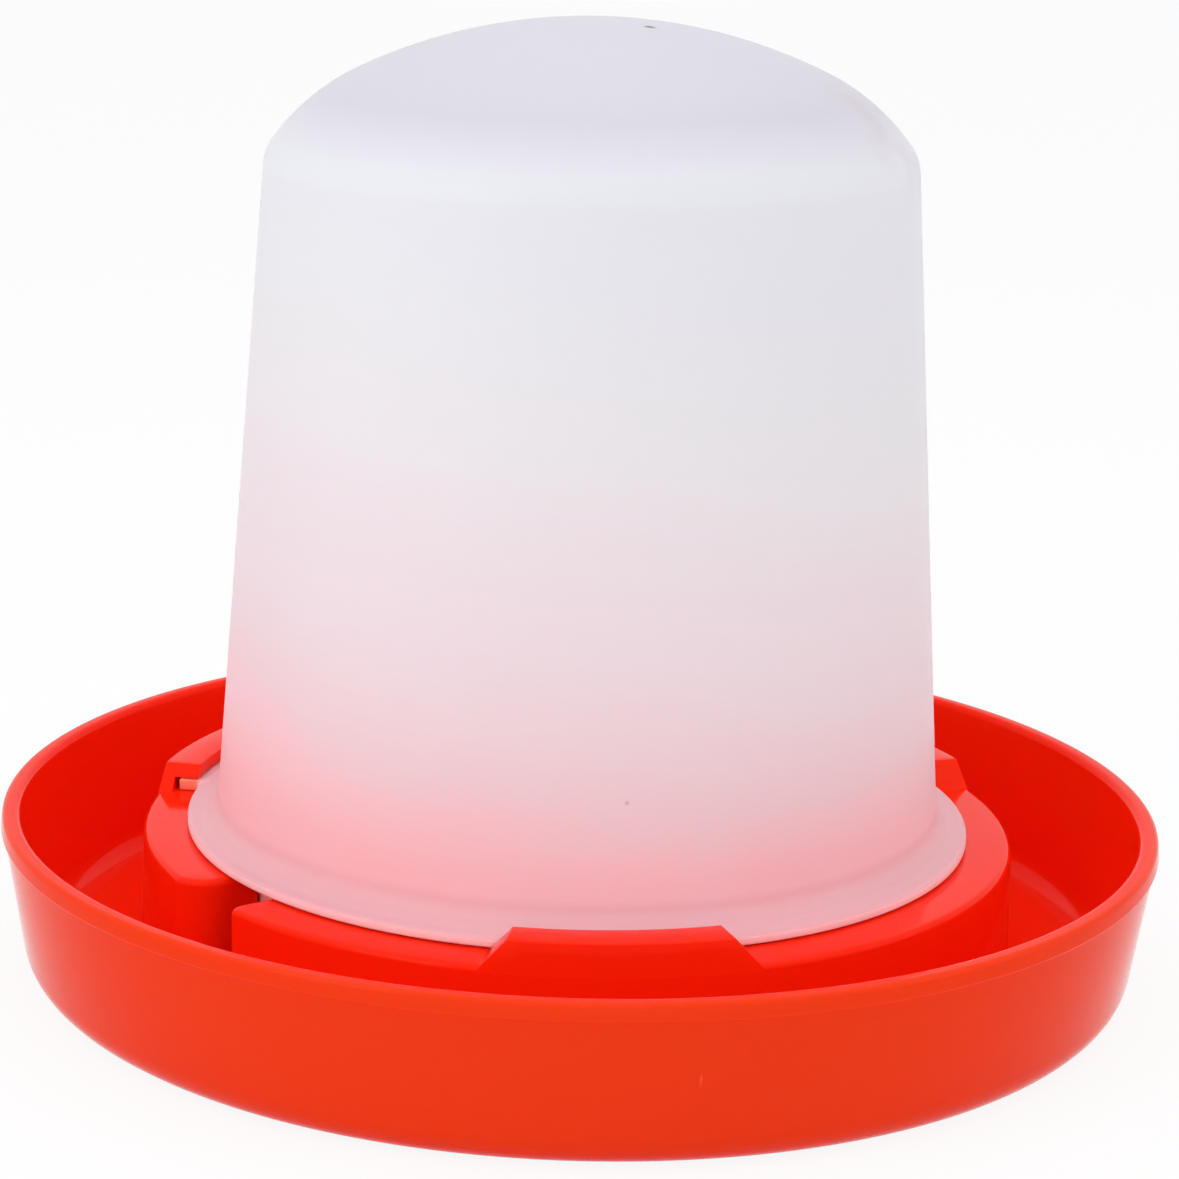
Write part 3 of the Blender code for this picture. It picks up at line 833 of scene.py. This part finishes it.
# %% Smudge and specks
SMUDGE_PLACE = (56.5 * MM, 38.8 * MM, 207.6 * MM)
SMUDGE_REACH = 20 * MM
SMUDGE_CORE = 4 * MM
SMUDGE_GRAIN = 12 * MM
SMUDGE_SHARE = 0.45
smear = add_node(tree, "ShaderNodeTexNoise", {"Scale": 1 / SMUDGE_GRAIN, "Detail": 3.0}, {"Vector": place})
streak = add_node(tree, "ShaderNodeMapRange", {"From Min": 0.35, "From Max": 0.7, "To Max": SMUDGE_SHARE},
                  {"Value": smear.outputs["Fac"]})
apart = add_node(tree, "ShaderNodeVectorMath", {"operation": "DISTANCE", 1: SMUDGE_PLACE}, {0: place})
close = add_node(tree, "ShaderNodeMapRange", {"From Min": SMUDGE_REACH, "From Max": SMUDGE_CORE},
                 {"Value": apart.outputs["Value"]})
share = add_node(tree, "ShaderNodeMath", {"operation": "MULTIPLY"},
                 {0: streak.outputs["Result"], 1: close.outputs["Result"]})
colour = add_node(tree, "ShaderNodeMix", {"data_type": "RGBA", 7: linear("#C8B6BA")},
                  {0: share.outputs[0], 6: colour}).outputs[2]
for centre, size, tint in SPECKS:
    colour = add_mark(tree, place, colour, centre, size, 1, tint)
tree.links.new(colour, shader.inputs["Base Color"])
gloss = add_node(tree, "ShaderNodeMapRange", {"To Min": 0.42, "To Max": 0.54},
                 {"Value": cloud.outputs["Fac"]})
tree.links.new(gloss.outputs["Result"], shader.inputs["Roughness"])
reservoir.data.materials.clear()
reservoir.data.materials.append(milky)
print("material:", milky.name, "with", len(tree.nodes), "nodes")

# %% [markdown]
# ## Floor and light
# The floor and the sky show white to the camera, and the object is lit by soft lamps at a plain level.
# Light Path tells the two apart, so a whiter background doesn't bleach the plastic.
# The floor lies a hair below the dish, because two faces in one plane would flicker.

# %% Floor
FLOOR_WIDTH = 20.0
FLOOR_GAP = 0.05 * MM
BACKDROP_SHARE = 0.9


def shows_backdrop(tree):
    """One where a surface is seen by the camera, in a reflection or through glass, and zero elsewhere."""
    path = add_node(tree, "ShaderNodeLightPath")
    seen = add_node(tree, "ShaderNodeMath", {"operation": "MAXIMUM"},
                    {0: path.outputs["Is Camera Ray"], 1: path.outputs["Is Glossy Ray"]})
    seen = add_node(tree, "ShaderNodeMath", {"operation": "MAXIMUM"},
                    {0: seen.outputs[0], 1: path.outputs["Is Transmission Ray"]})
    return seen.outputs[0]


bpy.ops.object.select_all(action="DESELECT")
bpy.ops.mesh.primitive_plane_add(size=FLOOR_WIDTH, location=(0, 0, -FLOOR_GAP))
floor = bpy.context.active_object
floor.name = "studio_floor"
paper, tree, shader = new_material("white_paper")
shader.inputs["Base Color"].default_value = linear("#F4F4F4")
shader.inputs["Roughness"].default_value = 0.9
share = add_node(tree, "ShaderNodeMath", {"operation": "MULTIPLY", 1: BACKDROP_SHARE},
                 {0: shows_backdrop(tree)})
glow = add_node(tree, "ShaderNodeEmission", {"Color": (1.0, 1.0, 1.0, 1.0)})
blend = add_node(tree, "ShaderNodeMixShader", {},
                 {0: share.outputs[0], 1: shader.outputs[0], 2: glow.outputs[0]})
tree.links.new(blend.outputs[0], tree.nodes["Material Output"].inputs["Surface"])
floor.data.materials.append(paper)
print("the floor is", floor.dimensions.x, "m wide")

# %% World
SKY_LIGHT = 0.7
world = bpy.data.worlds.new("studio")
bpy.context.scene.world = world
world.use_nodes = True
tree = world.node_tree
strength = add_node(tree, "ShaderNodeMapRange", {"To Min": SKY_LIGHT, "To Max": 1.0},
                    {"Value": shows_backdrop(tree)})
tree.links.new(strength.outputs["Result"], tree.nodes["Background"].inputs["Strength"])
tree.nodes["Background"].inputs["Color"].default_value = (1.0, 1.0, 1.0, 1.0)
print("the sky lights the object at", SKY_LIGHT)

# %% [markdown]
# ### Lamps
# Three square lamps stand in for the studio. The key stands in front and a little to the left, as in the
# photograph, the fill softens the far side, and the wide top lamp gives the dome and the dish's floor their
# even tone.

# %% Lamps
LAMP_TARGET = (0, 0, 0.08)
# Each lamp is its name, its place and its width, in metres, and its power in watts.
LAMPS = (
    ("key_lamp", (0.08, -1.1, 0.8), 0.55, 3.1),
    ("fill_lamp", (0.85, 0.75, 0.6), 0.8, 1.6),
    ("top_lamp", (0, 0, 1.1), 1.4, 4.6),
)


def softbox(name, place, size, watts):
    """A square lamp at a place, turned to the object."""
    bpy.ops.object.light_add(type="AREA", location=place)
    lamp = bpy.context.active_object
    lamp.name = name
    lamp.data.size = size
    lamp.data.energy = watts
    lamp.rotation_mode = "QUATERNION"
    lamp.rotation_quaternion = (Vector(LAMP_TARGET) - Vector(place)).to_track_quat("-Z", "Y")


for lamp_settings in LAMPS:
    softbox(*lamp_settings)
print("lamps:", [lamp[0] for lamp in LAMPS])

# %% [markdown]
# ## Camera
# The camera stands where the photographer stood, a little above the dish, and looks down at it. The
# picture was cropped off centre, which a small sideways shift repeats.

# %% Camera
CAMERA_PLACE = (0.615177, -0.475107, 0.287676)
CAMERA_YAW = radians(-55.9395)
CAMERA_PITCH = radians(14.1635)
CAMERA_ROLL = radians(0.493)
SENSOR_WIDTH = 36.0
LENS = 100.862
SIDE_SHIFT = 0.18
bpy.ops.object.camera_add(location=CAMERA_PLACE)
camera = bpy.context.active_object
camera.data.sensor_width = SENSOR_WIDTH
camera.data.lens = LENS
camera.data.shift_x = SIDE_SHIFT
aim = Matrix.Rotation(-CAMERA_YAW, 4, "Z") @ Matrix.Rotation(pi / 2 - CAMERA_PITCH, 4, "X")
camera.rotation_mode = "QUATERNION"
camera.rotation_quaternion = (aim @ Matrix.Rotation(CAMERA_ROLL, 4, "Z")).to_quaternion()
bpy.context.scene.camera = camera
bpy.context.scene.view_settings.view_transform = "Standard"
print("the camera is", round(Vector(CAMERA_PLACE).length, 3), "m from the dish")
